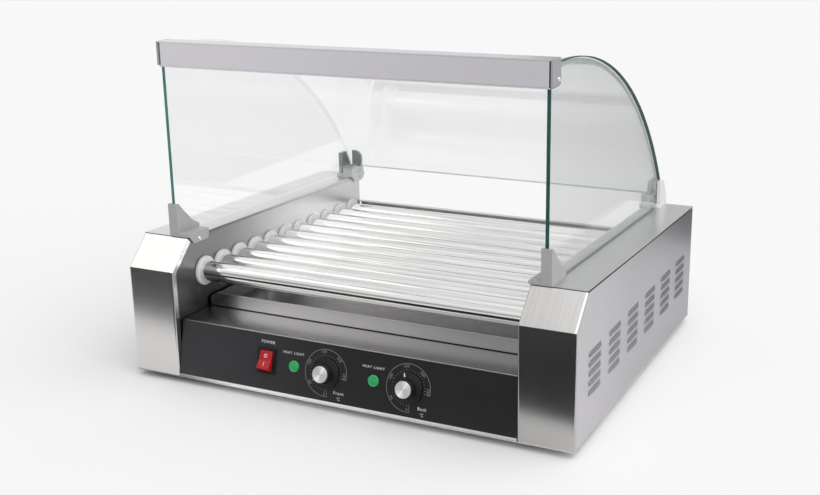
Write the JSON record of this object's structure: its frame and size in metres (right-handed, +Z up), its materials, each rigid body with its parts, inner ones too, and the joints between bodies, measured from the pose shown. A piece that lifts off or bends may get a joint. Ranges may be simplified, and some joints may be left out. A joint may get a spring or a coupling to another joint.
{
  "type": "hot dog roller grill",
  "caption": "Countertop roller grill: heated tubes turn between two side boxes over a drip tray, under a curved glass hood, with dial controls in front.",
  "frame": {"origin": "on the ground under the middle of the grill", "axes": "+X to the right as the user faces the controls, +Y to the back, +Z up"},
  "size_m": [0.5748, 0.4842, 0.4108],
  "materials": {
    "brushed_stainless": "vertical brushed grain",
    "satin_stainless": "fine matte satin",
    "polished_tube": "mirror polished stainless",
    "bushing_plastic": "smooth moulded",
    "grey_plastic": "fine moulded grain",
    "bar_aluminium": "satin anodised",
    "hood_glass": "clear tempered with green edges",
    "black_fascia": "satin black print",
    "black_plastic": "smooth moulded",
    "cap_aluminium": "spun face",
    "red_plastic": "glossy",
    "green_lens": "translucent lens",
    "screw_steel": "bright plated",
    "zinc_steel": "zinc plated",
    "element_sheath": "heat stained",
    "motor_paint": "grey paint",
    "terminal_ceramic": "unglazed",
    "foot_rubber": "matte"
  },
  "bodies": {
    "housing": {"base_pan": "brushed_stainless", "rear_panel": "brushed_stainless", "control_housing": "brushed_stainless", "control_fascia": "black_fascia", "switch_bezel": "black_plastic", "heating_elements": "element_sheath", "drive_chain": "zinc_steel", "gear_motor": "motor_paint", "motor_bracket": "zinc_steel", "terminal_block": "terminal_ceramic", "cord_gland": "black_plastic", "rubber_feet": "foot_rubber", "tray_rails": "brushed_stainless", "bracket_screws": "screw_steel", "housing_screws": "screw_steel", "front_heat_light": "green_lens", "back_heat_light": "green_lens", "front_thermostat": "black_plastic", "back_thermostat": "black_plastic", "left_inner_panel": "brushed_stainless", "left_front_cover": "brushed_stainless", "left_side_cover": "satin_stainless", "left_roller_bushings": "bushing_plastic", "left_element_bar": "zinc_steel", "left_front_bracket": "grey_plastic", "left_rear_bracket": "grey_plastic", "right_inner_panel": "brushed_stainless", "right_front_cover": "brushed_stainless", "right_side_cover": "satin_stainless", "right_roller_bushings": "bushing_plastic", "right_element_bar": "zinc_steel", "right_front_bracket": "grey_plastic", "right_rear_bracket": "grey_plastic"},
    "hood": {"left_side_glass": "hood_glass", "right_side_glass": "hood_glass", "curved_glass": "hood_glass", "hood_bar": "bar_aluminium", "hood_bar_face": "bar_aluminium", "hood_bar_caps": "grey_plastic", "hood_bar_screws": "screw_steel"},
    "tray": {"drip_tray": "brushed_stainless"},
    "motor_drive": {"motor_sprocket": "zinc_steel"},
    "rocker": {"power_rocker": "red_plastic"},
    "front_dial": {"front_knob": "black_plastic", "front_knob_cap": "cap_aluminium"},
    "back_dial": {"back_knob": "black_plastic", "back_knob_cap": "cap_aluminium"},
    "roller_01": {"roller_01": "polished_tube"},
    "roller_02": {"roller_02": "polished_tube"},
    "roller_03": {"roller_03": "polished_tube"},
    "roller_04": {"roller_04": "polished_tube"},
    "roller_05": {"roller_05": "polished_tube"},
    "roller_06": {"roller_06": "polished_tube"},
    "roller_07": {"roller_07": "polished_tube"},
    "roller_08": {"roller_08": "polished_tube"},
    "roller_09": {"roller_09": "polished_tube"},
    "roller_10": {"roller_10": "polished_tube"},
    "roller_11": {"roller_11": "polished_tube"}
  },
  "joints": [
    {"name": "roller_01_turn", "type": "hinge", "parent": "housing", "child": "roller_01", "pos_m": [0, -0.168, 0.1253], "axis": [1, 0, 0], "continuous": true, "deforming": ["drive_chain"]},
    {"name": "roller_02_turn", "type": "hinge", "parent": "housing", "child": "roller_02", "pos_m": [0, -0.131, 0.1238], "axis": [1, 0, 0], "continuous": true},
    {"name": "roller_03_turn", "type": "hinge", "parent": "housing", "child": "roller_03", "pos_m": [0, -0.094, 0.1223], "axis": [1, 0, 0], "continuous": true},
    {"name": "roller_04_turn", "type": "hinge", "parent": "housing", "child": "roller_04", "pos_m": [0, -0.057, 0.1208], "axis": [1, 0, 0], "continuous": true},
    {"name": "roller_05_turn", "type": "hinge", "parent": "housing", "child": "roller_05", "pos_m": [0, -0.02, 0.1193], "axis": [1, 0, 0], "continuous": true},
    {"name": "roller_06_turn", "type": "hinge", "parent": "housing", "child": "roller_06", "pos_m": [0, 0.017, 0.1178], "axis": [1, 0, 0], "continuous": true},
    {"name": "roller_07_turn", "type": "hinge", "parent": "housing", "child": "roller_07", "pos_m": [0, 0.054, 0.1163], "axis": [1, 0, 0], "continuous": true},
    {"name": "roller_08_turn", "type": "hinge", "parent": "housing", "child": "roller_08", "pos_m": [0, 0.091, 0.1148], "axis": [1, 0, 0], "continuous": true},
    {"name": "roller_09_turn", "type": "hinge", "parent": "housing", "child": "roller_09", "pos_m": [0, 0.128, 0.1133], "axis": [1, 0, 0], "continuous": true},
    {"name": "roller_10_turn", "type": "hinge", "parent": "housing", "child": "roller_10", "pos_m": [0, 0.165, 0.1118], "axis": [1, 0, 0], "continuous": true},
    {"name": "roller_11_turn", "type": "hinge", "parent": "housing", "child": "roller_11", "pos_m": [0, 0.202, 0.1103], "axis": [1, 0, 0], "continuous": true},
    {"name": "motor_turn", "type": "hinge", "parent": "housing", "child": "motor_drive", "pos_m": [0, 0.017, 0.04475], "axis": [1, 0, 0], "continuous": true},
    {"name": "hood_lift", "type": "slide", "parent": "housing", "child": "hood", "axis": [0, 0, 1], "range_m": [0, 0.06]},
    {"name": "tray_slide", "type": "slide", "parent": "housing", "child": "tray", "axis": [0, -1, 0], "range_m": [0, 0.36]},
    {"name": "front_dial_turn", "type": "hinge", "parent": "housing", "child": "front_dial", "pos_m": [-0.0169, -0.22621, 0.04448], "axis": [0, 0.9748, -0.2229], "range_deg": [-55.4, 222.6]},
    {"name": "back_dial_turn", "type": "hinge", "parent": "housing", "child": "back_dial", "pos_m": [0.0892, -0.22621, 0.04448], "axis": [0, 0.9748, -0.2229], "range_deg": [-165, 113]},
    {"name": "rocker_tilt", "type": "hinge", "parent": "housing", "child": "rocker", "pos_m": [-0.0973, -0.22289, 0.04556], "axis": [1, 0, 0], "range_deg": [0, 25.9]}
  ],
  "couplings": [
    {"joint": "roller_02_turn", "follows": "roller_01_turn", "ratio": 1},
    {"joint": "roller_03_turn", "follows": "roller_01_turn", "ratio": 1},
    {"joint": "roller_04_turn", "follows": "roller_01_turn", "ratio": 1},
    {"joint": "roller_05_turn", "follows": "roller_01_turn", "ratio": 1},
    {"joint": "roller_06_turn", "follows": "roller_01_turn", "ratio": 1},
    {"joint": "roller_07_turn", "follows": "roller_01_turn", "ratio": 1},
    {"joint": "roller_08_turn", "follows": "roller_01_turn", "ratio": 1},
    {"joint": "roller_09_turn", "follows": "roller_01_turn", "ratio": 1},
    {"joint": "roller_10_turn", "follows": "roller_01_turn", "ratio": 1},
    {"joint": "roller_11_turn", "follows": "roller_01_turn", "ratio": 1},
    {"joint": "motor_turn", "follows": "roller_01_turn", "ratio": 1}
  ]
}
